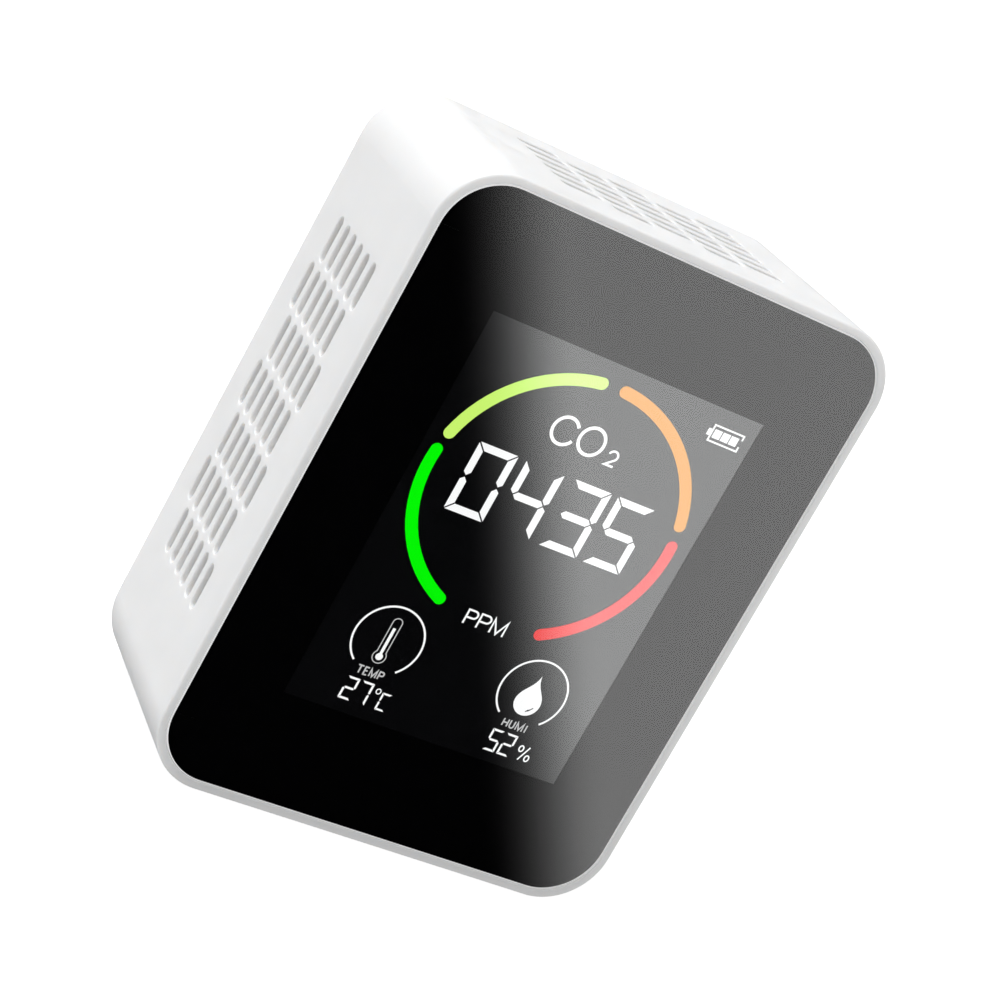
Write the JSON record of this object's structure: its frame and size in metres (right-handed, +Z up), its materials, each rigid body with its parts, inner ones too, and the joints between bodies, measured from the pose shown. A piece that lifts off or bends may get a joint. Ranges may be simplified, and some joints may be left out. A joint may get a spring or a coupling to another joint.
{
  "type": "carbon dioxide monitor",
  "caption": "Upright desk carbon dioxide monitor: vented white case, black front panel over a colour display, gas sensor, cell and side power button inside.",
  "frame": {"origin": "middle of the footprint on the table, at the lowest point of the case", "axes": "+Z up, -Y out of the display towards the reader, +X to the reader's right"},
  "size_m": [0.0708, 0.0366, 0.0918],
  "materials": {
    "case_plastic": "fine satin moulded white",
    "frame_plastic": "moulded black",
    "lens_acrylic": "polished clear sheet over black print",
    "black_print": "black screen print",
    "foam_tape": "thin foam tape",
    "polarizer_film": "dark display film",
    "display_glass": "thin glass",
    "silicon": "dark silicon",
    "backlight_plastic": "white light guide frame",
    "flex_film": "amber ribbon",
    "connector_plastic": "beige socket",
    "board_laminate": "green solder mask",
    "plated_steel": "nickel plated",
    "black_nylon": "moulded black",
    "switch_nylon": "moulded red",
    "button_plastic": "satin moulded white",
    "sensor_laminate": "blue solder mask",
    "pin_metal": "plated pins",
    "gold_plating": "gold plated chamber",
    "membrane": "white breathable membrane",
    "chip_resin": "black moulding resin",
    "ferrite": "grey ferrite",
    "capacitor_ceramic": "tan ceramic",
    "resistor_ceramic": "black glazed ceramic",
    "buzzer_plastic": "moulded black",
    "white_nylon": "moulded off-white",
    "lead_red": "red insulation",
    "lead_black": "black insulation",
    "cell_pouch": "laminated foil pouch",
    "screw_steel": "zinc plated"
  },
  "bodies": {
    "housing": {"case_shell": "case_plastic", "display_frame": "frame_plastic", "front_lens": "lens_acrylic", "lens_mask": "black_print", "lens_tape": "foam_tape", "lcd_polarizer": "polarizer_film", "lcd_glass": "display_glass", "lcd_driver": "silicon", "lcd_backlight": "backlight_plastic", "lcd_tape": "foam_tape", "lcd_flex": "flex_film", "fpc_connector": "connector_plastic", "main_board": "board_laminate", "usb_c_shell": "plated_steel", "usb_c_tongue": "black_nylon", "tact_switch": "black_nylon", "sensor_headers": "black_nylon", "sensor_board": "sensor_laminate", "sensor_pins": "pin_metal", "sensor_chamber": "gold_plating", "sensor_membranes": "membrane", "humidity_sensor": "chip_resin", "microcontroller": "chip_resin", "clock_crystal": "plated_steel", "charger_chip": "chip_resin", "voltage_regulator": "chip_resin", "power_inductor": "ferrite", "capacitors": "capacitor_ceramic", "resistors": "resistor_ceramic", "buzzer": "buzzer_plastic", "battery_connector": "white_nylon", "battery_plug": "white_nylon", "battery_lead_red": "lead_red", "battery_lead_black": "lead_black", "battery_cell": "cell_pouch", "battery_guard_board": "board_laminate", "battery_tape": "foam_tape", "case_screws": "screw_steel", "board_screws": "screw_steel"},
    "button": {"power_button": "button_plastic"},
    "plunger": {"switch_plunger": "switch_nylon"}
  },
  "joints": [
    {"name": "power_button_press", "type": "slide", "parent": "housing", "child": "button", "axis": [-1, 0, 0], "range_m": [0, 0.00035], "stiffness_N_per_m": 4000},
    {"name": "switch_plunger_press", "type": "slide", "parent": "housing", "child": "plunger", "axis": [-1, 0, 0], "range_m": [0, 0.00035]}
  ],
  "couplings": [
    {"joint": "switch_plunger_press", "follows": "power_button_press", "ratio": 1}
  ]
}
